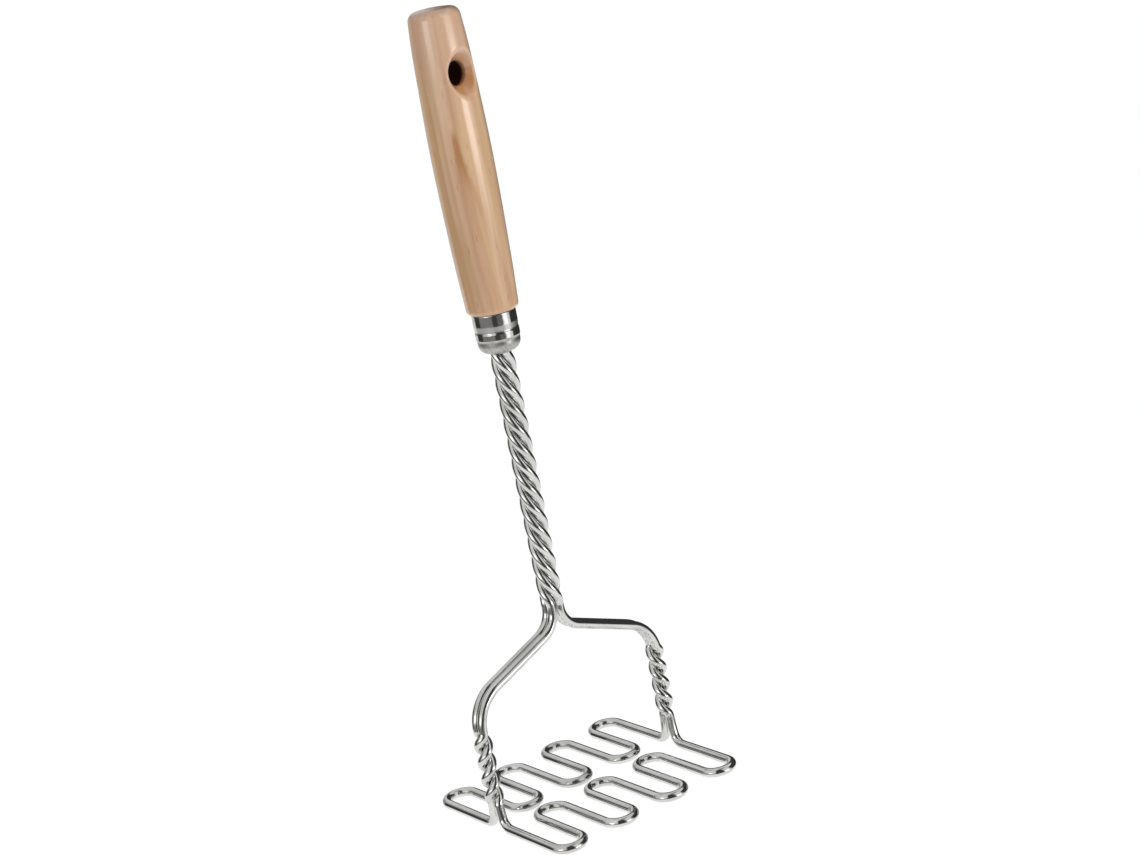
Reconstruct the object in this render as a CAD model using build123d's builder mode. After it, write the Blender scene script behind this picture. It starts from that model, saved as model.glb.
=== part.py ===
"""Wire masher: a turned wooden handle, a metal ferrule and two continuous bright wires.

Millimetres, +Z up. The origin is on the resting plane, under the middle of the two grids.
X runs from leg to leg, and -Y is the side of the front grid. Each wire is drawn as five
stretches that meet face to face: two shaft strands, two arm-and-leg strands and one grid.
"""

from build123d import *
from math import cos, pi, radians, sin, tan
import os

# wire
wire_diameter = 3.2
wire_radius = wire_diameter / 2
lay_gap = 0.04                      # air between neighbouring wires
pair_offset = (wire_diameter + lay_gap) / 2
points_per_turn = 12                # along a twisted strand

# grid: eight runs along Y, joined by half-round turns
run_count = 8
run_pitch = 10.8
grid_outer = 36.0                   # middle of the wire at the outer turns
grid_inner = 3.45                   # middle of the wire at the inner turns
grid_join = 9.5                     # where a leg strand meets its grid, along Y
leg_x = run_pitch * (run_count - 1) / 2

# feet and legs
foot_radius = 4.0
foot_lean = 10.0                    # degrees that each strand leans out above its foot
spread_start = 14.0                 # height below which a leg's two strands part
leg_turns = 2.0
leg_ramp = 2.2                      # height over which a leg's twist starts or ends
leg_twist_top = {"left": 36.2, "right": 38.9}
leg_twist_bottom = {"left": 9.4, "right": 11.5}

# arms
arm_slope = 22.0                    # degrees below level
arm_fall = tan(radians(arm_slope))
arm_apex = 61.0                     # height at which the two arms' middle lines would meet
arm_bend = 14.0
split_bend = 9.0
elbow_bottom = arm_apex - arm_fall * leg_x - arm_bend * tan(radians((90 - arm_slope) / 2))
elbow_top = elbow_bottom + arm_bend * radians(90 - arm_slope)   # measured along the bend

# shaft of four strands, a left-handed lay
shaft_join = 67.0                   # where a shaft strand meets its arm
shaft_twist_start = 67.3
shaft_ramp = 4.0
shaft_pitch = 28.0
shaft_lay_radius = 2.48             # middle of each wire from the shaft's axis
tang_top = 204.0

# handle
handle_bottom = 170.8
handle_top = 270.0
handle_foot_radius = 8.65
handle_lower_radius = 9.35
handle_belly_radius = 9.95
handle_upper_radius = 9.5
handle_neck_radius = 9.05
handle_end_radius = 8.3
handle_lower_z = 187.5
handle_belly_z = 221.0
handle_upper_z = 246.0
handle_neck_z = 259.0
crown_height = 0.6
crown_round = 3.0
foot_round = 1.6
spigot_radius = 6.55
spigot_bottom = 158.5
spigot_chamfer = 2.0
tang_bore_radius = 4.14
tang_bore_top = 206.0

# hanging hole
hang_z = 248.85
hang_turn = 12.0                    # degrees that the hole is turned from -Y towards +X
hang_radius = 4.0
hang_straight = 5.0                 # half the length of the straight bore
hang_reach = 12.0                   # reach of the cutting shape from the axis
flare_angle = 39.5

# ferrule
ferrule_wall = 0.5
ferrule_bottom = 157.0
ferrule_top = 170.7
ferrule_corner = 3.5
ferrule_low_radius = 7.1
ferrule_bead_radius = 7.35
ferrule_bead_z = 163.0
ferrule_groove_radius = 7.1
ferrule_groove_z = 165.2
ferrule_top_radius = 7.4
ferrule_hole_radius = 4.22


def write_piece(piece, label):
    """Label a finished piece and write it under its own name."""
    piece.label = label
    export_step(piece, f"parts/{label}.step")


def ramped_turn(travel, length, ramp, turn):
    """Angle turned after some travel, when the rate grows and dies away over a ramp at each end."""
    rate = turn / (length - ramp)
    if travel < ramp:
        return rate * travel**2 / (2 * ramp)
    if travel > length - ramp:
        return turn - rate * (length - travel) ** 2 / (2 * ramp)
    return rate * (travel - ramp / 2)


def eased(share):
    """Smooth step from 0 to 1."""
    share = min(max(share, 0.0), 1.0)
    return share**2 * (3 - 2 * share)


def wire_along(route):
    """Round wire swept along a finished route."""
    with BuildPart() as wire:
        with BuildSketch(Plane(origin=route @ 0, z_dir=route % 0)):
            Circle(wire_radius)
        sweep(path=route)
    return wire.part


def shaft_point(corner, height):
    """Middle of the shaft strand that starts over a corner angle, at some height."""
    rate = 2 * pi / shaft_pitch
    travel = max(height - shaft_twist_start, 0.0)
    if travel < shaft_ramp:
        turned = rate * travel**2 / (2 * shaft_ramp)
    else:
        turned = rate * (travel - shaft_ramp / 2)
    split_radius = pair_offset * 2**0.5
    reach = split_radius + (shaft_lay_radius - split_radius) * eased(travel / shaft_ramp)
    angle = radians(corner) - turned
    return (reach * cos(angle), reach * sin(angle), height)


def shaft_strand(corner):
    """One of the four strands of the shaft, from the arm up to the end of its tang."""
    steps = round(points_per_turn * (tang_top - shaft_twist_start) / shaft_pitch)
    rise = (tang_top - shaft_twist_start) / steps
    points = [shaft_point(corner, shaft_twist_start + rise * i) for i in range(steps + 1)]
    top = Vector(points[-1])
    top_rate = 2 * pi / shaft_pitch
    top_direction = Vector(top.Y * top_rate, -top.X * top_rate, 1).normalized()
    start = Vector(points[0])
    with BuildLine() as route:
        Line((start.X, start.Y, shaft_join), start)
        Spline(*points, tangents=[(0, 0, 1), top_direction], tangent_scalars=[1, 1])
    return wire_along(route.line)


def leg_point(side, fore, name, height):
    """Middle of a leg strand: side is -1 left or 1 right, fore is -1 front or 1 rear.

    Above the bottom of the elbow, the height goes on along the bend.
    """
    top = leg_twist_top[name]
    length = top - leg_twist_bottom[name]
    travel = min(max(top - height, 0.0), length)
    turned = ramped_turn(travel, length, leg_ramp, 2 * pi * leg_turns)
    foot_z = wire_radius + foot_radius * (1 - sin(radians(foot_lean)))
    fall = max(spread_start - height, 0.0)
    spread = tan(radians(foot_lean)) * fall**2 / (2 * (spread_start - foot_z))
    angle = fore * pi / 2 + side * turned
    reach = pair_offset + spread
    bent = max(height - elbow_bottom, 0.0) / arm_bend
    x = side * (leg_x - arm_bend * (1 - cos(bent))) + reach * cos(angle) * cos(bent)
    z = min(height, elbow_bottom) + arm_bend * sin(bent) + side * reach * cos(angle) * sin(bent)
    return (x, reach * sin(angle), z)


def arm_leg_strand(side, fore, name):
    """One strand of an arm and its leg, from the shaft down to the first run of the grid."""
    top_x = side * pair_offset
    fore_y = fore * pair_offset
    leg_top = max(leg_twist_top[name], elbow_bottom)
    foot_z = wire_radius + foot_radius * (1 - sin(radians(foot_lean)))
    twist_length = leg_twist_top[name] - leg_twist_bottom[name]
    steps = round(points_per_turn * leg_turns * (leg_top - foot_z) / twist_length)
    drop = (leg_top - foot_z) / steps
    points = [leg_point(side, fore, name, leg_top - drop * i) for i in range(steps + 1)]
    arm_end = leg_point(side, fore, name, elbow_top)
    arm_way = (side * cos(radians(arm_slope)), 0, -sin(radians(arm_slope)))
    bent = (leg_top - elbow_bottom) / arm_bend
    leg_way = (side * sin(bent), 0, -cos(bent))
    lean_out = (0, fore * sin(radians(foot_lean)), -cos(radians(foot_lean)))
    foot_y = points[-1][1] + fore * foot_radius * cos(radians(foot_lean))
    with BuildLine() as route:
        FilletPolyline(
            (top_x, fore_y, shaft_join),
            (top_x, fore_y, arm_apex - arm_fall * pair_offset),
            arm_end,
            radius=split_bend,
        )
        TangentArc(arm_end, points[0], tangent=arm_way)
        Spline(*points, tangents=[leg_way, lean_out], tangent_scalars=[1, 1])
        TangentArc(points[-1], (side * leg_x, foot_y, wire_radius), tangent=lean_out)
        Line((side * leg_x, foot_y, wire_radius), (side * leg_x, fore * grid_join, wire_radius))
    return wire_along(route.line)


def grid(fore):
    """Zigzag of straight runs and half-round turns, lying on the resting plane."""
    turn = run_pitch / 2
    outer = fore * (grid_outer - turn)
    inner = fore * (grid_inner + turn)
    with BuildLine() as route:
        start = fore * grid_join
        for i in range(run_count):
            x = i * run_pitch - leg_x
            end = outer if i % 2 == 0 else inner
            if i == run_count - 1:
                end = fore * grid_join
            Line((x, start, wire_radius), (x, end, wire_radius))
            if i < run_count - 1:
                bulge = fore * turn if i % 2 == 0 else -fore * turn
                middle = (x + turn, end + bulge, wire_radius)
                ThreePointArc((x, end, wire_radius), middle, (x + run_pitch, end, wire_radius))
            start = end
    return wire_along(route.line)


os.makedirs("parts", exist_ok=True)

# Handle: a barrel with a crowned top, a spigot for the ferrule and a blind bore for the tang
with BuildPart() as handle:
    with BuildSketch(Plane.XZ) as barrel:
        with BuildLine():
            Polyline(
                (0, tang_bore_top),
                (tang_bore_radius, tang_bore_top),
                (tang_bore_radius, spigot_bottom),
                (spigot_radius - spigot_chamfer, spigot_bottom),
                (spigot_radius, spigot_bottom + spigot_chamfer),
                (spigot_radius, handle_bottom),
                (handle_foot_radius, handle_bottom),
            )
            Spline(
                (handle_foot_radius, handle_bottom),
                (handle_lower_radius, handle_lower_z),
                (handle_belly_radius, handle_belly_z),
                (handle_upper_radius, handle_upper_z),
                (handle_neck_radius, handle_neck_z),
                (handle_end_radius, handle_top - crown_height),
            )
            TangentArc(
                (0, handle_top),
                (handle_end_radius, handle_top - crown_height),
                tangent=(1, 0),
            )
            Line((0, handle_top), (0, tang_bore_top))
        make_face()
        crown_corner = barrel.vertices().sort_by_distance((handle_end_radius, handle_top))[0]
        fillet(crown_corner, crown_round)
        foot_corner = barrel.vertices().sort_by_distance((handle_foot_radius, handle_bottom))[0]
        fillet(foot_corner, foot_round)
    revolve(axis=Axis.Z)

    # Hanging hole: a straight cross bore with a flare at each mouth
    hang_way = Vector(sin(radians(hang_turn)), -cos(radians(hang_turn)), 0)
    with BuildSketch(Plane((0, 0, hang_z), z_dir=hang_way)):
        Circle(hang_radius)
    extrude(amount=hang_reach, both=True, mode=Mode.SUBTRACT)
    for mouth in (hang_way, -hang_way):
        with BuildSketch(Plane(mouth * hang_straight + Vector(0, 0, hang_z), z_dir=mouth)):
            Circle(hang_radius)
        extrude(amount=hang_reach - hang_straight, taper=-flare_angle, mode=Mode.SUBTRACT)
write_piece(handle.part, "handle")

# Ferrule: a thin drawn cup with a rolled groove, a bead and a hole for the shaft
with BuildPart() as ferrule:
    with BuildSketch(Plane.XZ):
        with BuildLine():
            corner_x = ferrule_low_radius - ferrule_corner
            corner_z = ferrule_bottom + ferrule_corner
            side = [
                (ferrule_low_radius, corner_z),
                (ferrule_bead_radius, ferrule_bead_z),
                (ferrule_groove_radius, ferrule_groove_z),
                (ferrule_top_radius, ferrule_top),
            ]
            inner_side = [(x - ferrule_wall, z) for x, z in side]
            inner_bottom = ferrule_bottom + ferrule_wall
            Line((0, ferrule_bottom), (corner_x, ferrule_bottom))
            TangentArc((corner_x, ferrule_bottom), side[0], tangent=(1, 0))
            Spline(*side, tangents=[(0, 1), (0, 1)], tangent_scalars=[1, 1])
            Line(side[-1], inner_side[-1])
            Spline(*inner_side, tangents=[(0, 1), (0, 1)], tangent_scalars=[1, 1])
            TangentArc((corner_x, inner_bottom), inner_side[0], tangent=(1, 0))
            Line((corner_x, inner_bottom), (0, inner_bottom))
            Line((0, inner_bottom), (0, ferrule_bottom))
        make_face()
    revolve(axis=Axis.Z)
    with Locations((0, 0, ferrule_bottom)):
        Hole(ferrule_hole_radius)
write_piece(ferrule.part, "ferrule")

# Wires: the left and right ends of the front and rear wire, then the two grids
for fore_name, fore in (("front", -1), ("rear", 1)):
    for side_name, side in (("left", -1), ("right", 1)):
        corner = fore * (90 - 45 * side)
        write_piece(shaft_strand(corner), f"{fore_name}_wire_shaft_{side_name}")
        write_piece(arm_leg_strand(side, fore, side_name), f"{fore_name}_wire_leg_{side_name}")
    write_piece(grid(fore), f"{fore_name}_wire_grid")
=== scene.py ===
"""Looks of the wire masher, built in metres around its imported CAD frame.

Two continuous bright wires, a turned and lacquered beech handle and a drawn metal ferrule.
The resting plane is z = 0, X runs from leg to leg, and -Y is the side of the front grid.
"""

import math

import bpy
from mathutils import Matrix, Quaternion, Vector


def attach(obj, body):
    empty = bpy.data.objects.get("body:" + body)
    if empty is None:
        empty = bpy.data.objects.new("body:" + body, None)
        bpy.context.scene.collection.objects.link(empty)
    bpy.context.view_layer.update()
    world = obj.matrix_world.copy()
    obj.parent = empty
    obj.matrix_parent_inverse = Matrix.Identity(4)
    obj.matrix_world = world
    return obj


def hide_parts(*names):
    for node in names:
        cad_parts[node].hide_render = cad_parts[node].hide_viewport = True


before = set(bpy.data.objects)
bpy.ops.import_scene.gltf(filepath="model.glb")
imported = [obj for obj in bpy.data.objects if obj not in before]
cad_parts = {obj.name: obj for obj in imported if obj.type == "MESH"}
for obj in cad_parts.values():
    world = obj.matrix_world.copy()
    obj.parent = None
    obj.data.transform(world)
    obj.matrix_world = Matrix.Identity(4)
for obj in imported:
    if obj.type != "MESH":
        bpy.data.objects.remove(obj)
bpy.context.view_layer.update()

# ---------------------------------------------------------------- sizes, in metres

# wire
WIRE_RADIUS = 0.0016
LAY_GAP = 0.00004
PAIR_OFFSET = WIRE_RADIUS + LAY_GAP / 2
WIRE_SIDES = 28
END_ROUND = 0.0004

# grid
RUN_COUNT = 8
RUN_PITCH = 0.0108
GRID_OUTER = 0.036
GRID_INNER = 0.00345
LEG_X = RUN_PITCH * (RUN_COUNT - 1) / 2

# feet and legs; where the twist starts and ends goes by side, -1 left and 1 right
FOOT_RADIUS = 0.004
FOOT_LEAN = math.radians(10)
FOOT_Z = WIRE_RADIUS + FOOT_RADIUS * (1 - math.sin(FOOT_LEAN))
SPREAD_START = 0.014
LEG_TURNS = 2
LEG_RAMP = 0.0022
LEG_TWIST_TOP = {-1: 0.0362, 1: 0.0389}
LEG_TWIST_BOTTOM = {-1: 0.0094, 1: 0.0115}

# arms
ARM_SLOPE = math.radians(22)
ARM_FALL = math.tan(ARM_SLOPE)
ARM_APEX = 0.061
ARM_BEND = 0.014
SPLIT_BEND = 0.009
ELBOW_BOTTOM = ARM_APEX - ARM_FALL * LEG_X - ARM_BEND * math.tan((math.pi / 2 - ARM_SLOPE) / 2)
ELBOW_TOP = ELBOW_BOTTOM + ARM_BEND * (math.pi / 2 - ARM_SLOPE)

# shaft
SHAFT_TWIST_START = 0.0673
SHAFT_RAMP = 0.004
SHAFT_PITCH = 0.028
SHAFT_LAY_RADIUS = 0.00248
TANG_TOP = 0.204

# spacing of the rings along a wire
TWIST_STEP = 0.0006
BEND_STEP = math.radians(5)

# handle: radius and height of its barrel's stations, from the ferrule to the crown
FOOT_STATION = (0.00865, 0.1708)
BARREL_STATIONS = [
    FOOT_STATION,
    (0.00935, 0.1875),
    (0.00995, 0.221),
    (0.0095, 0.246),
    (0.00905, 0.259),
    (0.0083, 0.2694),
]
CROWN_TOP = 0.27
CROWN_ROUND = 0.003
FOOT_ROUND = 0.0016
SPIGOT_RADIUS = 0.00655
SPIGOT_BOTTOM = 0.1585
SPIGOT_CHAMFER = 0.002
BORE_RADIUS = 0.00414
BORE_TOP = 0.206
HANDLE_COLUMNS = 128
BARREL_ROW = 0.0009

# hanging hole, and the patch of the barrel's mesh that each of its mouths replaces
HOLE_Z = 0.24885
HOLE_TURN = math.radians(12)
HOLE_RADIUS = 0.004
HOLE_STRAIGHT = 0.005
HOLE_FLARE = math.radians(39.5)
HOLE_ROUND = 0.001
MOUTH_BLEND = 0.0016
PATCH_HALF_ANGLE = math.radians(50.7)
PATCH_HALF_HEIGHT = 0.0108

# ferrule: its cup, then the bead, the groove and the flank of its side, by the heights where they start
FERRULE_RADIUS = 0.0071
FERRULE_WALL = 0.0005
FERRULE_BOTTOM = 0.157
FERRULE_TOP = 0.1707
FERRULE_CORNER = 0.0035
FERRULE_HOLE = 0.00422
FERRULE_EDGE = 0.0001
FERRULE_COLUMNS = 128
FERRULE_ROW = 0.00014
BEAD_Z = 0.1614
BEAD_LENGTH = 0.0009
BEAD_RISE = 0.00028
GROOVE_Z = 0.1641
GROOVE_LENGTH = 0.0007
GROOVE_DEPTH = 0.00016
FLANK_Z = 0.165
FLANK_LENGTH = 0.0018
FLANK_RISE = 0.00017

# grain: the growth rings' pith, which leans beside the handle, a reddish tongue, and a rosier upper end
RING_WIDTH = 0.0026
PITH_X = -0.021
PITH_Y = 0.034
PITH_LEAN = 0.035
GRAIN_WANDER = 0.006
TONGUE_FOOT = 0.19
TONGUE_TIP = 0.232
TONGUE_TURN = math.radians(45.8)
ROSY_FROM = 0.236
ROSY_FULL = 0.262

# ---------------------------------------------------------------- studio, angles in degrees

CAMERA_AZIMUTH = -34.26
CAMERA_ELEVATION = 15.45
CAMERA_ROLL = -11.07
CAMERA_DISTANCE = 0.80855
CAMERA_AIM = (0.02091, 0, 0.12375)
CAMERA_LENS = 76.195
TABLE_HALF = 9.0

# light tent: azimuth from the camera's, half width, edge, lowest, highest, edge, brightness;
# later panels cover earlier ones
TENT_PANELS = [
    (-20, 66, 8, -23, -9, 3, 0.22),
    (-116, 32, 14, -3, 22, 14, 0.36),
    (-103, 17, 5, -17, 15, 5, 0.05),
    (133, 46, 5, -18, 36, 6, 0.04),
    (84, 6, 4, 2, 36, 5, 0.04),
    (14, 21, 5, -9, 66, 6, 0.05),
    (-1, 11, 5, -23, -8, 4, 0.06),
    (75, 50, 12, 68, 84, 5, 0.3),
    (58, 10, 4, -6, 56, 6, 0.85),
    (55, 10, 4, -6, -5, 9, 4.6),
    (-37, 16, 4, -2, 66, 4, 0.8),
    (-42, 9, 5, 0, 8, 5.5, 3.2),
]

# ---------------------------------------------------------------- mesh helpers


def finished_object(name, vertices, faces, attributes=None):
    """A smooth-shaded mesh object, with optional per-vertex attributes given as name: (type, values)."""
    mesh = bpy.data.meshes.new(name)
    mesh.from_pydata([tuple(v) for v in vertices], [], faces)
    for key, (kind, values) in (attributes or {}).items():
        layer = mesh.attributes.new(key, kind, "POINT")
        field = "vector" if kind == "FLOAT_VECTOR" else "value"
        flat = [c for v in values for c in v] if kind == "FLOAT_VECTOR" else values
        layer.data.foreach_set(field, flat)
    mesh.polygons.foreach_set("use_smooth", [True] * len(mesh.polygons))
    mesh.validate()
    mesh.update()
    obj = bpy.data.objects.new(name, mesh)
    bpy.context.scene.collection.objects.link(obj)
    return obj


def eased(share):
    """Smooth step from 0 to 1."""
    share = min(max(share, 0.0), 1.0)
    return share * share * (3 - 2 * share)


def arc(centre, start, axis, turn, step=BEND_STEP):
    """Points of an arc about a centre: start turned about an axis, both ends included."""
    count = max(2, math.ceil(abs(turn) / step))
    spoke = start - centre
    return [centre + Quaternion(axis, turn * i / count) @ spoke for i in range(count + 1)]


def rounded(corner, before, after, radius, step=BEND_STEP):
    """Points of the arc that rounds a corner between its neighbours."""
    into = (corner - before).normalized()
    out = (after - corner).normalized()
    turn = into.angle(out)
    tangent = radius * math.tan(turn / 2)
    start = corner - into * tangent
    axis = into.cross(out).normalized()
    centre = start + axis.cross(into) * radius
    return arc(centre, start, axis, turn, step)


def even_steps(low, high, step):
    """Evenly spaced numbers from low to high, both included, at most a step apart."""
    count = max(1, math.ceil(abs(high - low) / step))
    return [low + (high - low) * i / count for i in range(count + 1)]


# ---------------------------------------------------------------- wires


def shaft_point(corner, height):
    """Middle of the shaft strand that starts over a corner angle, at some height."""
    rate = 2 * math.pi / SHAFT_PITCH
    travel = max(height - SHAFT_TWIST_START, 0)
    if travel < SHAFT_RAMP:
        turned = rate * travel**2 / (2 * SHAFT_RAMP)
    else:
        turned = rate * (travel - SHAFT_RAMP / 2)
    split_radius = PAIR_OFFSET * math.sqrt(2)
    reach = split_radius + (SHAFT_LAY_RADIUS - split_radius) * eased(travel / SHAFT_RAMP)
    angle = corner - turned
    return Vector((reach * math.cos(angle), reach * math.sin(angle), height))


def leg_point(side, fore, height):
    """Middle of a leg strand: side is -1 left or 1 right, fore is -1 front or 1 rear.

    Above the bottom of the elbow, the height goes on along the bend.
    """
    top = LEG_TWIST_TOP[side]
    length = top - LEG_TWIST_BOTTOM[side]
    travel = min(max(top - height, 0), length)
    rate = 2 * math.pi * LEG_TURNS / (length - LEG_RAMP)
    if travel < LEG_RAMP:
        turned = rate * travel**2 / (2 * LEG_RAMP)
    elif travel > length - LEG_RAMP:
        turned = 2 * math.pi * LEG_TURNS - rate * (length - travel) ** 2 / (2 * LEG_RAMP)
    else:
        turned = rate * (travel - LEG_RAMP / 2)
    fall = max(SPREAD_START - height, 0)
    reach = PAIR_OFFSET + math.tan(FOOT_LEAN) * fall**2 / (2 * (SPREAD_START - FOOT_Z))
    angle = fore * math.pi / 2 + side * turned
    out, across = reach * math.cos(angle), reach * math.sin(angle)
    bent = max(height - ELBOW_BOTTOM, 0) / ARM_BEND
    x = side * (LEG_X - ARM_BEND * (1 - math.cos(bent))) + out * math.cos(bent)
    z = min(height, ELBOW_BOTTOM) + ARM_BEND * math.sin(bent) + side * out * math.sin(bent)
    return Vector((x, across, z))


def half_route(side, fore):
    """One end of a wire: from its tang down the shaft, out along the arm and down the leg to the grid."""
    corner = fore * (math.pi / 2 - side * math.pi / 4)
    shaft = [shaft_point(corner, z) for z in even_steps(TANG_TOP, SHAFT_TWIST_START, TWIST_STEP)]

    shoulder = Vector((side * PAIR_OFFSET, fore * PAIR_OFFSET, ARM_APEX - ARM_FALL * PAIR_OFFSET))
    leg = [leg_point(side, fore, z) for z in even_steps(ELBOW_TOP, FOOT_Z, TWIST_STEP / 2)]
    split = rounded(shoulder, shaft[-1], leg[0], SPLIT_BEND)

    lean = Vector((0, fore * math.sin(FOOT_LEAN), -math.cos(FOOT_LEAN)))
    sideways = Vector((fore, 0, 0))
    foot_centre = leg[-1] + sideways.cross(lean) * FOOT_RADIUS
    foot = arc(foot_centre, leg[-1], sideways, math.pi / 2 - FOOT_LEAN)
    return shaft + split + leg + foot[1:]


def grid_route(fore):
    """The zigzag of runs and half-round turns between a wire's two feet, without its two ends."""
    turn = RUN_PITCH / 2
    outer = fore * (GRID_OUTER - turn)
    inner = fore * (GRID_INNER + turn)
    points = []
    for i in range(RUN_COUNT - 1):
        x = i * RUN_PITCH - LEG_X
        end, way = (outer, -fore) if i % 2 == 0 else (inner, fore)
        start = Vector((x, end, WIRE_RADIUS))
        centre = Vector((x + turn, end, WIRE_RADIUS))
        points += arc(centre, start, Vector((0, 0, 1)), way * math.pi)
    return points


def tube(name, route, radius):
    """A round wire along a route, with slightly rounded ends and its unbent coordinates as an attribute."""
    count = len(route)
    steps = [(b - a).normalized() for a, b in zip(route, route[1:])]
    tangents = [steps[0]] + [(a + b).normalized() for a, b in zip(steps, steps[1:])] + [steps[-1]]
    side = tangents[0].orthogonal().normalized()
    rings = []
    travelled = 0.0
    for i in range(count):
        if i:
            travelled += (route[i] - route[i - 1]).length
            side = tangents[i - 1].rotation_difference(tangents[i]) @ side
            side = (side - tangents[i] * side.dot(tangents[i])).normalized()
        rings.append((route[i], tangents[i], side.copy(), travelled, radius))
    first, last = rings[0], rings[-1]
    small = radius - END_ROUND
    rings.insert(0, (first[0] - first[1] * END_ROUND, first[1], first[2], first[3] - END_ROUND, small))
    rings.append((last[0] + last[1] * END_ROUND, last[1], last[2], last[3] + END_ROUND, small))

    vertices, straight = [], []
    for middle, tangent, side, along, reach in rings:
        other = tangent.cross(side)
        for k in range(WIRE_SIDES):
            angle = 2 * math.pi * k / WIRE_SIDES
            c, s = reach * math.cos(angle), reach * math.sin(angle)
            vertices.append(middle + side * c + other * s)
            straight.append((c, s, along))
    faces = []
    for i in range(len(rings) - 1):
        for k in range(WIRE_SIDES):
            a, b = i * WIRE_SIDES + k, i * WIRE_SIDES + (k + 1) % WIRE_SIDES
            faces.append((a, b, b + WIRE_SIDES, a + WIRE_SIDES))
    faces.append(tuple(reversed(range(WIRE_SIDES))))
    end = (len(rings) - 1) * WIRE_SIDES
    faces.append(tuple(range(end, end + WIRE_SIDES)))
    return finished_object(name, vertices, faces, {"straight": ("FLOAT_VECTOR", straight)})


def wire(name, fore):
    """A whole wire: tang, shaft, left arm and leg, grid, right leg and arm, shaft, tang."""
    route = half_route(-1, fore) + grid_route(fore) + half_route(1, fore)[::-1]
    return tube(name, route, WIRE_RADIUS)


# ---------------------------------------------------------------- handle


def barrel_radius(height):
    """Radius of the handle's barrel: a cubic through its stations, with slopes from their neighbours."""
    stations = BARREL_STATIONS
    k = 0
    while k < len(stations) - 2 and height > stations[k + 1][1]:
        k += 1

    def slope(i):
        a, b = stations[max(i - 1, 0)], stations[min(i + 1, len(stations) - 1)]
        return (b[0] - a[0]) / (b[1] - a[1])

    (r0, z0), (r1, z1) = stations[k], stations[k + 1]
    gap = z1 - z0
    t = (height - z0) / gap
    return (
        r0 * (1 + 2 * t) * (1 - t) ** 2
        + r1 * t**2 * (3 - 2 * t)
        + gap * slope(k) * t * (1 - t) ** 2
        - gap * slope(k + 1) * t**2 * (1 - t)
    )


def flat_corner(points, radius, pieces):
    """Rounds the middle one of three (radius, height) points of a profile."""
    before, corner, after = (Vector((r, 0, z)) for r, z in points)
    turn = (corner - before).angle(after - corner)
    return [(p.x, p.z) for p in rounded(corner, before, after, radius, turn / pieces)]


def handle_profile():
    """The handle's half section from the crown's middle to the top of the tang bore.

    Returns the stations and the numbers of the first and last row of the plain barrel.
    """
    top_r, top_z = BARREL_STATIONS[-1]
    near_z = top_z - CROWN_ROUND
    crown = flat_corner([(0, CROWN_TOP), (top_r, top_z), (barrel_radius(near_z), near_z)], CROWN_ROUND, 12)
    foot_r, foot_z = FOOT_STATION
    above_z = foot_z + 2.5 * FOOT_ROUND
    foot_points = [(barrel_radius(above_z), above_z), (foot_r, foot_z), (SPIGOT_RADIUS, foot_z)]
    foot = flat_corner(foot_points, FOOT_ROUND, 7)
    barrel = [(barrel_radius(z), z) for z in even_steps(crown[-1][1], foot[0][1], BARREL_ROW)]
    rim_r, rim_z = crown[0]
    cap = [(rim_r * share, CROWN_TOP + (rim_z - CROWN_TOP) * share**2) for share in (0.25, 0.5, 0.75)]
    inner = [
        (SPIGOT_RADIUS, foot_z),
        (SPIGOT_RADIUS, SPIGOT_BOTTOM + SPIGOT_CHAMFER),
        (SPIGOT_RADIUS - SPIGOT_CHAMFER, SPIGOT_BOTTOM),
        (BORE_RADIUS, SPIGOT_BOTTOM),
        (BORE_RADIUS, BORE_TOP),
    ]
    outline = cap + crown[:-1] + barrel + foot[1:] + inner
    first = len(cap) + len(crown) - 1
    return outline, first, first + len(barrel) - 1


def smooth_least(a, b, blend):
    """The smaller of two numbers, rounded off where they are close."""
    share = max(blend - abs(a - b), 0) / blend
    return min(a, b) - share * share * blend / 4


def barrel_depth(x, z):
    """Distance of the barrel's surface from the plane y = 0."""
    return math.sqrt(barrel_radius(z) ** 2 - x * x)


def flare_depth(reach):
    """Depth of the flared mouth's cone at some reach from the hole's axis."""
    return HOLE_STRAIGHT + (reach - HOLE_RADIUS) / math.tan(HOLE_FLARE)


def mouth_lip(surface, low, high):
    """The reach, between two others, at which the flare meets the barrel's surface, by halving."""
    for _ in range(30):
        middle = (low + high) / 2
        if flare_depth(middle) < surface(middle):
            low = middle
        else:
            high = middle
    return low


def mouth_column(surface, edge):
    """Points from the bore's straight wall over the flared mouth to the patch's edge, as (reach, depth)."""
    arc_depth = HOLE_STRAIGHT - HOLE_ROUND * math.tan(HOLE_FLARE / 2)
    points = []
    for i in range(5):
        beta = HOLE_FLARE * i / 4
        reach = HOLE_RADIUS + HOLE_ROUND * (1 - math.cos(beta))
        points.append((reach, arc_depth + HOLE_ROUND * math.sin(beta)))
    start = points[-1][0]
    lip = mouth_lip(surface, start, edge)
    inside, outside = lip - MOUTH_BLEND * 0.75, lip + MOUTH_BLEND * 0.75
    reaches = []
    for a, b, count in ((start, inside, 6), (inside, outside, 14), (outside, edge, 8)):
        reaches += [a + (b - a) * (i + 1) / count for i in range(count)]
    for reach in reaches[:-1]:
        points.append((reach, smooth_least(surface(reach), flare_depth(reach), MOUTH_BLEND)))
    return points


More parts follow.
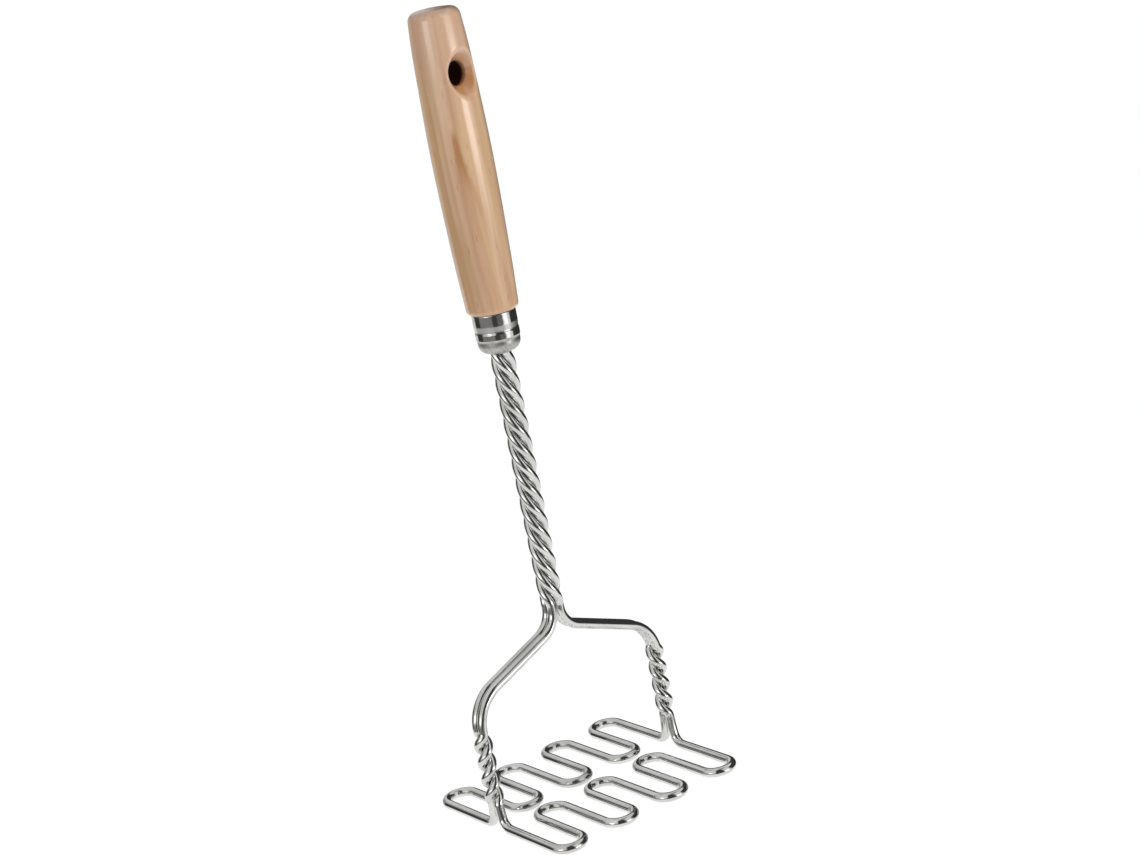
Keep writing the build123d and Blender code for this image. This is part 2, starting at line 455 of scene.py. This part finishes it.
class Lathe:
    """A mesh turned about the Z axis from an outline, whose vertices are made when first asked for."""

    def __init__(self, outline, columns):
        self.outline = outline
        self.columns = columns
        self.vertices = []
        self.cut = []
        self.faces = []
        self.number = {}

    def add(self, point, how_cut=0.0):
        """Adds a vertex, with how far it lies on a cut surface, and returns its number."""
        self.vertices.append(point)
        self.cut.append(how_cut)
        return len(self.vertices) - 1

    def lathed(self, row, column):
        """Number of the vertex at a row of the outline and a column round the axis."""
        column %= self.columns
        if (row, column) not in self.number:
            r, z = self.outline[row]
            angle = 2 * math.pi * column / self.columns
            self.number[row, column] = self.add((r * math.sin(angle), -r * math.cos(angle), z))
        return self.number[row, column]


def patch_loop(top, bottom, low, high):
    """Rows and columns round a patch's edge: along its bottom, up, back along its top and down."""
    loop = [(bottom, column) for column in range(low, high)]
    loop += [(row, high) for row in range(bottom, top, -1)]
    loop += [(top, column) for column in range(high, low, -1)]
    return loop + [(row, low) for row in range(top, bottom)]


def hole_mouth(body, loop, facing):
    """Fills a patch with the hole's flared mouth, and returns the vertices where the bore begins."""
    columns = []
    for row, column in loop:
        rim = body.lathed(row, column)
        x, _, z = body.vertices[rim]
        edge = math.hypot(x, z - HOLE_Z)
        spoke_x, spoke_z = x / edge, (z - HOLE_Z) / edge

        def surface(reach):
            return barrel_depth(spoke_x * reach, HOLE_Z + spoke_z * reach)

        chain = []
        for reach, depth in mouth_column(surface, edge):
            how_cut = eased((surface(reach) - depth) / MOUTH_BLEND)
            chain.append(body.add((spoke_x * reach, facing * depth, HOLE_Z + spoke_z * reach), how_cut))
        columns.append(chain + [rim])
    for i, chain in enumerate(columns):
        following = columns[(i + 1) % len(columns)]
        for k in range(len(chain) - 1):
            body.faces.append((chain[k], chain[k + 1], following[k + 1], following[k]))
    return [chain[0] for chain in columns]


def handle_mesh():
    """The lathed handle with a cross hole whose flared mouths have softened lips."""
    outline, first, last = handle_profile()
    body = Lathe(outline, HANDLE_COLUMNS)
    barrel_rows = range(first, last + 1)
    top = min(barrel_rows, key=lambda i: abs(outline[i][1] - (HOLE_Z + PATCH_HALF_HEIGHT)))
    bottom = min(barrel_rows, key=lambda i: abs(outline[i][1] - (HOLE_Z - PATCH_HALF_HEIGHT)))
    half = round(PATCH_HALF_ANGLE / (2 * math.pi) * HANDLE_COLUMNS)
    opposite = HANDLE_COLUMNS // 2

    def in_patch(row, column):
        turned = (column + opposite // 2) % opposite - opposite // 2
        return top <= row < bottom and -half <= turned < half

    bore_row = len(outline) - 1
    for row in range(bore_row):
        for column in range(HANDLE_COLUMNS):
            if not in_patch(row, column):
                a, b = body.lathed(row, column), body.lathed(row, column + 1)
                body.faces.append((b, a, body.lathed(row + 1, column), body.lathed(row + 1, column + 1)))
    crown_pole = body.add((0, 0, CROWN_TOP))
    bore_pole = body.add((0, 0, BORE_TOP))
    for column in range(HANDLE_COLUMNS):
        body.faces.append((crown_pole, body.lathed(0, column), body.lathed(0, column + 1)))
        body.faces.append((bore_pole, body.lathed(bore_row, column + 1), body.lathed(bore_row, column)))

    front = hole_mouth(body, patch_loop(top, bottom, -half, half), -1)
    rear = hole_mouth(body, patch_loop(top, bottom, opposite - half, opposite + half), 1)
    count = len(front)
    # seen from the front the rear ring runs the other way round, from its other bottom corner
    mirrored = [rear[(2 * half - i) % count] for i in range(count)]
    for i in range(count):
        j = (i + 1) % count
        body.faces.append((front[j], mirrored[j], mirrored[i], front[i]))
    turn = Quaternion((0, 0, 1), HOLE_TURN)
    vertices = [turn @ Vector(v) for v in body.vertices]
    return finished_object("handle_body", vertices, body.faces, {"cut": ("FLOAT", body.cut)})


# ---------------------------------------------------------------- ferrule


def ferrule_side(z):
    """Outer radius of the ferrule's side: a bead, a step down into the groove and a sloping flank."""
    bead = BEAD_RISE * eased((z - BEAD_Z) / BEAD_LENGTH)
    step = GROOVE_DEPTH * eased((z - GROOVE_Z) / GROOVE_LENGTH)
    flank = FLANK_RISE * min(max((z - FLANK_Z) / FLANK_LENGTH, 0), 1)
    return FERRULE_RADIUS + bead - step + flank


def ferrule_corner(radius):
    """Quarter round of the ferrule's bottom corner, from its bottom to its side."""
    middle_r = FERRULE_RADIUS - FERRULE_CORNER
    middle_z = FERRULE_BOTTOM + FERRULE_CORNER
    angles = [math.pi / 2 * i / 12 for i in range(13)]
    return [(middle_r + radius * math.sin(a), middle_z - radius * math.cos(a)) for a in angles]


def ferrule_profile():
    """The ferrule's closed outline: up its outside, over the folded top edge, down its inside to the hole."""
    edge = FERRULE_EDGE
    hole_lip = [(FERRULE_HOLE + 1.2 * edge, FERRULE_BOTTOM + 0.2 * edge)]
    outer_corner = [p for p in ferrule_corner(FERRULE_CORNER) if p[0] >= FERRULE_HOLE]
    heights = even_steps(FERRULE_BOTTOM + FERRULE_CORNER, FERRULE_TOP - 2 * edge, FERRULE_ROW)[1:]
    side = [(ferrule_side(z), z) for z in heights]
    top_r = side[-1][0]
    bends = ((0.4, 0.8), (1.4, 0.1), (2.5, 0), (4, 0.3))
    fold = [(top_r - across * edge, FERRULE_TOP - down * edge) for across, down in bends]
    # the inner wall's rows start a little above the corner
    inner_side = [(r - FERRULE_WALL, z) for r, z in reversed(side[2:])]
    inner_corner = ferrule_corner(FERRULE_CORNER - FERRULE_WALL)[::-1]
    inner_corner = [p for p in inner_corner if p[0] > FERRULE_HOLE + edge]
    hole = [(FERRULE_HOLE, FERRULE_BOTTOM + FERRULE_WALL - edge), (FERRULE_HOLE, FERRULE_BOTTOM + edge)]
    return hole_lip + outer_corner + side + fold + inner_side + inner_corner + hole


def ferrule_mesh():
    """A drawn cup: open hole, rounded bottom corner, bead, rolled groove and a folded top edge."""
    outline = ferrule_profile()
    vertices, faces = [], []
    rows = len(outline)
    for r, z in outline:
        for column in range(FERRULE_COLUMNS):
            angle = 2 * math.pi * column / FERRULE_COLUMNS
            vertices.append((r * math.sin(angle), -r * math.cos(angle), z))
    for row in range(rows):
        for column in range(FERRULE_COLUMNS):
            a = row * FERRULE_COLUMNS + column
            b = row * FERRULE_COLUMNS + (column + 1) % FERRULE_COLUMNS
            c = (row + 1) % rows * FERRULE_COLUMNS + (column + 1) % FERRULE_COLUMNS
            d = (row + 1) % rows * FERRULE_COLUMNS + column
            faces.append((a, b, c, d))
    return finished_object("ferrule_cup", vertices, faces)


# ---------------------------------------------------------------- material helpers


class Shading:
    """A short way to add and link shader nodes."""

    def __init__(self, tree):
        self.tree = tree
        tree.nodes.clear()

    def add(self, kind, settings=None, **inputs):
        """Adds a node, sets its properties, and sets or links its inputs by name, with _ for a space."""
        made = self.tree.nodes.new(kind)
        for key, value in (settings or {}).items():
            setattr(made, key, value)
        for key, value in inputs.items():
            socket = made.inputs[key.replace("_", " ")]
            self.feed(socket, value)
        return made

    def feed(self, socket, value):
        """Links a socket, or sets its value."""
        if isinstance(value, bpy.types.NodeSocket):
            self.tree.links.new(value, socket)
        else:
            socket.default_value = value

    def math(self, operation, *values):
        """A Math node's result."""
        made = self.tree.nodes.new("ShaderNodeMath")
        made.operation = operation
        for socket, value in zip(made.inputs, values):
            self.feed(socket, value)
        return made.outputs[0]

    def scaled(self, vector, scale):
        """A vector with each axis scaled."""
        made = self.tree.nodes.new("ShaderNodeVectorMath")
        made.operation = "MULTIPLY"
        self.feed(made.inputs[0], vector)
        self.feed(made.inputs[1], scale)
        return made.outputs[0]

    def noise(self, vector, scale, detail=4.0, roughness=0.5):
        """Noise, from 0 to 1."""
        made = self.add("ShaderNodeTexNoise", Vector=vector, Scale=scale, Detail=detail, Roughness=roughness)
        return made.outputs[0]

    def ranged(self, value, low, high, to_low=0.0, to_high=1.0):
        """A smooth step of a value from one range to another."""
        made = self.tree.nodes.new("ShaderNodeMapRange")
        made.interpolation_type = "SMOOTHSTEP"
        for socket, number in zip(made.inputs, (value, low, high, to_low, to_high)):
            self.feed(socket, number)
        return made.outputs[0]

    def mixed(self, share, first, second):
        """Two colours mixed."""
        made = self.tree.nodes.new("ShaderNodeMix")
        made.data_type = "RGBA"
        self.feed(made.inputs[0], share)
        self.feed(made.inputs[6], first)
        self.feed(made.inputs[7], second)
        return made.outputs[2]


def colour(red, green, blue):
    """A linear colour from 8-bit sRGB values."""
    linear = []
    for value in (red, green, blue):
        value /= 255
        linear.append(value / 12.92 if value <= 0.04045 else ((value + 0.055) / 1.055) ** 2.4)
    return (*linear, 1.0)


def new_material(name):
    """An empty node material and its shading helper."""
    material = bpy.data.materials.new(name)
    material.use_nodes = True
    return material, Shading(material.node_tree)


def finish_material(shading, principled):
    """Links a principled shader to the output."""
    output = shading.add("ShaderNodeOutputMaterial")
    shading.tree.links.new(principled.outputs[0], output.inputs[0])


# ---------------------------------------------------------------- materials


def late_wood_share(s, x, y, z, wander):
    """Share of the darker late wood in the growth rings about the pith."""
    pith_x = s.math("ADD", s.math("SUBTRACT", x, PITH_X), s.math("MULTIPLY", z, PITH_LEAN))
    pith_y = s.math("SUBTRACT", y, PITH_Y)
    squares = s.math("ADD", s.math("MULTIPLY", pith_x, pith_x), s.math("MULTIPLY", pith_y, pith_y))
    reach = s.math("ADD", s.math("SQRT", squares), wander)
    phase = s.math("FRACT", s.math("MULTIPLY", reach, 1 / RING_WIDTH))
    return s.math("MULTIPLY", s.ranged(phase, 0.1, 0.8), s.ranged(phase, 1.0, 0.82))


def tongue_share(s, x, y, z, wander):
    """Share of the reddish tongue of grain: thin and full at its tip, wide and hollow towards its foot."""
    off = s.math("MULTIPLY", x, math.cos(TONGUE_TURN))
    off = s.math("SUBTRACT", off, s.math("MULTIPLY", y, math.sin(TONGUE_TURN)))
    off = s.math("SUBTRACT", off, s.ranged(z, TONGUE_FOOT, TONGUE_TIP, 0.0034, 0.0013))
    off = s.math("ABSOLUTE", s.math("ADD", off, wander))
    off = s.math("DIVIDE", off, s.ranged(z, TONGUE_FOOT, TONGUE_TIP, 0.0042, 0.001))
    low_down = s.ranged(z, TONGUE_TIP - 0.008, TONGUE_TIP - 0.02, 0.0, 0.7)
    hollow = s.math("MULTIPLY", s.ranged(off, 0.8, 0.1), low_down)
    share = s.math("MULTIPLY", s.ranged(off, 1.3, 0.3), s.math("SUBTRACT", 1.0, hollow))
    share = s.math("MULTIPLY", share, s.ranged(z, TONGUE_TIP + 0.0015, TONGUE_TIP - 0.0035))
    share = s.math("MULTIPLY", share, s.ranged(z, TONGUE_FOOT - 0.002, TONGUE_TIP - 0.006, 0.0, 0.8))
    return s.math("MULTIPLY", share, s.ranged(s.math("ADD", x, y), 0.0, -0.004))


def fleck_share(s, where):
    """Share of the short dark ray flecks: about a third of the cells of a stretched pattern."""
    stretched = s.scaled(where, (900, 900, 150))
    cells = s.add("ShaderNodeTexVoronoi", {"feature": "F1"}, Vector=stretched, Scale=1.0, Randomness=1.0)
    near = s.ranged(cells.outputs["Distance"], 0.26, 0.1)
    lot = s.add("ShaderNodeSeparateXYZ", Vector=cells.outputs["Color"]).outputs[0]
    return s.math("MULTIPLY", near, s.ranged(lot, 0.62, 0.7))


def beech_grain(s, where, pores):
    """Colour of the turned surface: broad tones, growth rings, streaks, the tongue, flecks and pores."""
    x, y, z = s.add("ShaderNodeSeparateXYZ", Vector=where).outputs
    drift = s.noise(s.scaled(where, (30, 30, 9)), 1.0, 2.0)
    wander = s.math("MULTIPLY", s.math("SUBTRACT", drift, 0.5), GRAIN_WANDER)
    broad = s.noise(s.scaled(where, (70, 70, 11)), 1.0, 2.0)
    blush = s.noise(s.scaled(where, (95, 95, 28)), 1.0, 2.0)
    streaks = s.noise(s.scaled(where, (210, 210, 9)), 1.0, 5.0, 0.62)
    late_wood = late_wood_share(s, x, y, z, wander)
    tongue = tongue_share(s, x, y, z, wander)

    base = s.mixed(s.ranged(broad, 0.35, 0.68), colour(196, 162, 122), colour(184, 147, 108))
    base = s.mixed(s.ranged(blush, 0.4, 0.66, 0.0, 0.8), base, colour(196, 157, 127))
    base = s.mixed(s.math("MULTIPLY", late_wood, 0.2), base, colour(162, 118, 75))
    base = s.mixed(s.math("MULTIPLY", s.ranged(streaks, 0.46, 0.74), 0.4), base, colour(158, 112, 70))
    base = s.mixed(s.math("MULTIPLY", s.ranged(streaks, 0.5, 0.28), 0.3), base, colour(212, 178, 134))
    base = s.mixed(tongue, base, colour(158, 104, 60))
    base = s.mixed(s.math("MULTIPLY", fleck_share(s, where), 0.4), base, colour(140, 92, 60))
    base = s.mixed(s.math("MULTIPLY", s.ranged(pores, 0.55, 0.72), 0.16), base, colour(150, 104, 72))
    return s.mixed(s.ranged(z, ROSY_FROM, ROSY_FULL, 0.0, 0.4), base, colour(188, 152, 134))


def beech():
    """Steamed beech under clear lacquer: gold-brown cut grain in the hole's mouths, with painted shade toward
    their lower side, painted shade darkening its bore, and painted shade on its crown.
    """
    material, s = new_material("lacquered_beech")
    where = s.add("ShaderNodeTexCoord").outputs["Object"]
    x, y, z = s.add("ShaderNodeSeparateXYZ", Vector=where).outputs
    pores = s.noise(s.scaled(where, (1900, 1900, 120)), 1.0, 3.0, 0.6)
    base = beech_grain(s, where, pores)

    cut = s.add("ShaderNodeAttribute", {"attribute_name": "cut"}).outputs["Fac"]
    across = s.math("MULTIPLY", x, math.sin(HOLE_TURN))
    across = s.math("ABSOLUTE", s.math("SUBTRACT", across, s.math("MULTIPLY", y, math.cos(HOLE_TURN))))
    # gold-brown of the cut end grain in the hole's mouths, partly real and partly painted shade that darkens
    # toward their lower side
    cut_grain_and_shade = s.math("MULTIPLY", cut, s.ranged(z, HOLE_Z + 0.002, HOLE_Z - 0.004, 0.3, 0.75))
    # painted shade: the bore's straight part, far inside the hole, darkened to near black; the same mask
    # makes it rough and takes off its lacquer
    bore_shade = s.math("MULTIPLY", cut, s.ranged(across, HOLE_STRAIGHT - 0.0003, HOLE_STRAIGHT - 0.002))
    # painted shade: the crown's rounding and top darkened and greyed
    crown = s.ranged(z, CROWN_TOP - 0.0028, CROWN_TOP - 0.0004)
    base = s.mixed(cut_grain_and_shade, base, colour(172, 114, 60))
    base = s.mixed(bore_shade, base, colour(36, 9, 3))
    base = s.mixed(s.math("MULTIPLY", crown, 0.55), base, colour(136, 108, 88))

    ripple = s.noise(s.scaled(where, (160, 160, 40)), 1.0, 2.0)
    relief = s.math("ADD", s.math("MULTIPLY", pores, 0.35), s.math("MULTIPLY", ripple, 0.8))
    bump = s.add("ShaderNodeBump", Strength=0.18, Distance=0.0002, Height=relief)
    smear = s.noise(where, 90.0, 4.0, 0.6)
    principled = s.add(
        "ShaderNodeBsdfPrincipled",
        Base_Color=base,
        Roughness=s.math("MAXIMUM", s.ranged(smear, 0.3, 0.7, 0.36, 0.5), bore_shade),
        Coat_Weight=s.math("SUBTRACT", 1.0, bore_shade),
        Normal=bump.outputs[0],
        Coat_Normal=bump.outputs[0],
    )
    principled.inputs["Specular IOR Level"].default_value = 0.15
    principled.inputs["Coat Roughness"].default_value = 0.15
    principled.inputs["Coat IOR"].default_value = 1.7
    finish_material(s, principled)
    return material


def bright_wire():
    """Bright plated steel wire: faint drawing lines along it, cloudy polish and small dents."""
    material, s = new_material("bright_wire")
    straight = s.add("ShaderNodeAttribute", {"attribute_name": "straight"}).outputs["Vector"]
    lines = s.noise(s.scaled(straight, (3800, 3800, 40)), 1.0, 4.0, 0.6)
    cloud = s.noise(s.scaled(straight, (260, 260, 90)), 1.0, 4.0, 0.6)
    dents = s.noise(s.scaled(straight, (420, 420, 240)), 1.0, 2.0)
    relief = s.math("ADD", s.math("MULTIPLY", lines, 0.1), s.math("MULTIPLY", dents, 0.5))
    bump = s.add("ShaderNodeBump", Strength=0.14, Distance=0.0001, Height=relief)
    tone = s.mixed(s.ranged(cloud, 0.3, 0.7), colour(226, 226, 224), colour(206, 206, 203))
    roughness = s.math("ADD", s.ranged(cloud, 0.3, 0.75, 0.08, 0.16), s.math("MULTIPLY", lines, 0.06))
    normal = bump.outputs[0]
    principled = s.add("ShaderNodeBsdfPrincipled", Base_Color=tone, Roughness=roughness, Normal=normal)
    principled.inputs["Metallic"].default_value = 1.0
    finish_material(s, principled)
    return material


def drawn_ferrule():
    """Thin drawn steel under bright nickel: polished side, softer dome, faint turning lines."""
    material, s = new_material("drawn_ferrule")
    where = s.add("ShaderNodeTexCoord").outputs["Object"]
    z = s.add("ShaderNodeSeparateXYZ", Vector=where).outputs[2]
    cloud = s.noise(where, 420.0, 4.0, 0.6)
    turning = s.noise(s.scaled(where, (60, 60, 6000)), 1.0, 3.0, 0.6)
    dents = s.noise(where, 300.0, 2.0)
    relief = s.math("ADD", s.math("MULTIPLY", turning, 0.12), s.math("MULTIPLY", dents, 0.8))
    bump = s.add("ShaderNodeBump", Strength=0.25, Distance=0.00012, Height=relief)
    dome = s.ranged(z, BEAD_Z + 0.0012, BEAD_Z + 0.0004)
    above_groove = s.ranged(z, GROOVE_Z + 0.0002, FLANK_Z)
    below_top = s.ranged(z, FLANK_Z + 0.0023, FLANK_Z + 0.0017)
    band = s.math("MULTIPLY", above_groove, below_top)
    softer = s.math("ADD", s.math("MULTIPLY", dome, 0.28), s.math("MULTIPLY", band, 0.18))
    base_rough = s.ranged(cloud, 0.3, 0.75, 0.08, 0.16)
    tone = s.mixed(s.ranged(cloud, 0.3, 0.7), colour(224, 223, 220), colour(204, 203, 199))
    speckle = s.ranged(s.noise(where, 900.0, 3.0, 0.7), 0.35, 0.7, 0.45, 0.95)
    tone = s.mixed(s.math("MULTIPLY", dome, speckle), tone, colour(166, 166, 162))
    roughness = s.math("ADD", base_rough, softer)
    normal = bump.outputs[0]
    principled = s.add("ShaderNodeBsdfPrincipled", Base_Color=tone, Roughness=roughness, Normal=normal)
    principled.inputs["Metallic"].default_value = 1.0
    finish_material(s, principled)
    return material


def pale_floor():
    """White table that glows evenly from below, so that shadows stay faint."""
    material, s = new_material("pale_floor")
    where = s.add("ShaderNodeTexCoord").outputs["Object"]
    cloud = s.noise(where, 3.0, 3.0)
    tone = s.mixed(s.ranged(cloud, 0.3, 0.7), (0.1, 0.1, 0.1, 1), (0.09, 0.09, 0.09, 1))
    principled = s.add("ShaderNodeBsdfPrincipled", Base_Color=tone, Roughness=0.9)
    principled.inputs["Emission Color"].default_value = (1, 1, 1, 1)
    principled.inputs["Emission Strength"].default_value = 0.93
    finish_material(s, principled)
    return material


# ---------------------------------------------------------------- studio


def studio_world():
    """A white light tent as the metal and the lacquer see it, and plain white behind the object."""
    world = bpy.data.worlds.new("light_tent")
    bpy.context.scene.world = world
    world.use_nodes = True
    s = Shading(world.node_tree)
    way = s.add("ShaderNodeTexCoord").outputs["Generated"]
    x, y, z = s.add("ShaderNodeSeparateXYZ", Vector=way).outputs
    azimuth = s.math("MULTIPLY", s.math("ARCTAN2", x, s.math("MULTIPLY", y, -1)), 180 / math.pi)
    elevation = s.math("MULTIPLY", s.math("ARCSINE", z), 180 / math.pi)

    def panel(centre, half_width, soft, low, high, soft_height):
        """1 inside a panel of the tent, by azimuth and elevation in degrees, fading at its edges."""
        off = s.math("SUBTRACT", azimuth, CAMERA_AZIMUTH + centre)
        wrapped = s.math("SUBTRACT", s.math("MODULO", s.math("ADD", off, 540), 360), 180)
        across = s.ranged(s.math("ABSOLUTE", wrapped), half_width + soft, half_width)
        above = s.ranged(elevation, low - soft_height, low)
        below = s.ranged(elevation, high + soft_height, high)
        return s.math("MULTIPLY", across, s.math("MULTIPLY", above, below))

    level = s.ranged(elevation, -25, 2, 0.98, 0.72)
    for centre, half_width, soft, low, high, soft_height, brightness in TENT_PANELS:
        share = panel(centre, half_width, soft, low, high, soft_height)
        change = s.math("MULTIPLY", share, s.math("SUBTRACT", brightness, level))
        level = s.math("ADD", level, change)
    seen = s.add("ShaderNodeBackground", Color=(1, 1, 1, 1), Strength=1.0)
    tent = s.add("ShaderNodeBackground", Color=(1, 1, 1, 1), Strength=level)
    camera_ray = s.add("ShaderNodeLightPath").outputs["Is Camera Ray"]
    both = s.tree.nodes.new("ShaderNodeMixShader")
    s.feed(both.inputs[0], camera_ray)
    s.feed(both.inputs[1], tent.outputs[0])
    s.feed(both.inputs[2], seen.outputs[0])
    output = s.add("ShaderNodeOutputWorld")
    s.tree.links.new(both.outputs[0], output.inputs[0])


def floor():
    """A large pale table top under the object."""
    half = TABLE_HALF
    corners = [(-half, -half, 0), (half, -half, 0), (half, half, 0), (-half, half, 0)]
    table = finished_object("table_top", corners, [(0, 1, 2, 3)])
    table.data.materials.append(pale_floor())
    table.visible_glossy = False


def soft_light(name, place, target, size, power, tint=(1, 1, 1)):
    """A large square soft light that shines from a place towards a target."""
    lamp = bpy.data.lights.new(name, "AREA")
    lamp.shape = "SQUARE"
    lamp.size = size
    lamp.energy = power
    lamp.color = tint
    obj = bpy.data.objects.new(name, lamp)
    bpy.context.scene.collection.objects.link(obj)
    obj.location = place
    obj.rotation_mode = "QUATERNION"
    obj.rotation_quaternion = (Vector(target) - Vector(place)).to_track_quat("-Z", "Y")
    obj.visible_glossy = False
    obj.visible_camera = False


def camera():
    """The camera, with a slight roll and its aim a little to the right of the shaft."""
    azimuth, elevation, roll = (math.radians(a) for a in (CAMERA_AZIMUTH, CAMERA_ELEVATION, CAMERA_ROLL))
    back = Vector(
        (
            math.sin(azimuth) * math.cos(elevation),
            -math.cos(azimuth) * math.cos(elevation),
            math.sin(elevation),
        )
    )
    right = (-back).cross(Vector((0, 0, 1))).normalized()
    up = right.cross(-back)
    rolled_right = math.cos(roll) * right + math.sin(roll) * up
    rolled_up = -math.sin(roll) * right + math.cos(roll) * up
    lens = bpy.data.cameras.new("camera")
    lens.sensor_width = 36.0
    lens.lens = CAMERA_LENS
    lens.clip_start = 0.01
    lens.clip_end = 60.0
    obj = bpy.data.objects.new("camera", lens)
    bpy.context.scene.collection.objects.link(obj)
    turn = Matrix((rolled_right, rolled_up, back)).transposed()
    obj.matrix_world = Matrix.Translation(Vector(CAMERA_AIM) + back * CAMERA_DISTANCE) @ turn.to_4x4()
    bpy.context.scene.camera = obj


# ---------------------------------------------------------------- the object


def dress(obj, material, slot, *nodes):
    """Gives a piece its material, hangs it on the root body and hides the CAD nodes that it stands for; the
    slot is not used.
    """
    obj.data.materials.append(material)
    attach(obj, "root")
    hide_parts(*nodes)


wire_material = bright_wire()
for fore_name, fore in (("front", -1), ("rear", 1)):
    nodes = [n for n in sorted(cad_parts) if n.startswith(f"{fore_name}_wire_")]
    dress(wire(f"{fore_name}_wire", fore), wire_material, "wire", *nodes)
dress(handle_mesh(), beech(), "wood", "handle")
dress(ferrule_mesh(), drawn_ferrule(), "ferrule", "ferrule")

camera()
studio_world()
floor()
soft_light("overhead", (0.2, -0.3, 1.6), (0, 0, 0.1), 1.6, 5.0)
soft_light("side", (0.31, -1.1, 0.75), (0, 0, 0.2), 0.8, 10.0, (0.93, 1.0, 1.16))
soft_light("rim", (-0.64, 0.89, 0.5), (0, 0, 0.2), 0.6, 2.2)
bpy.context.scene.view_settings.view_transform = "Standard"
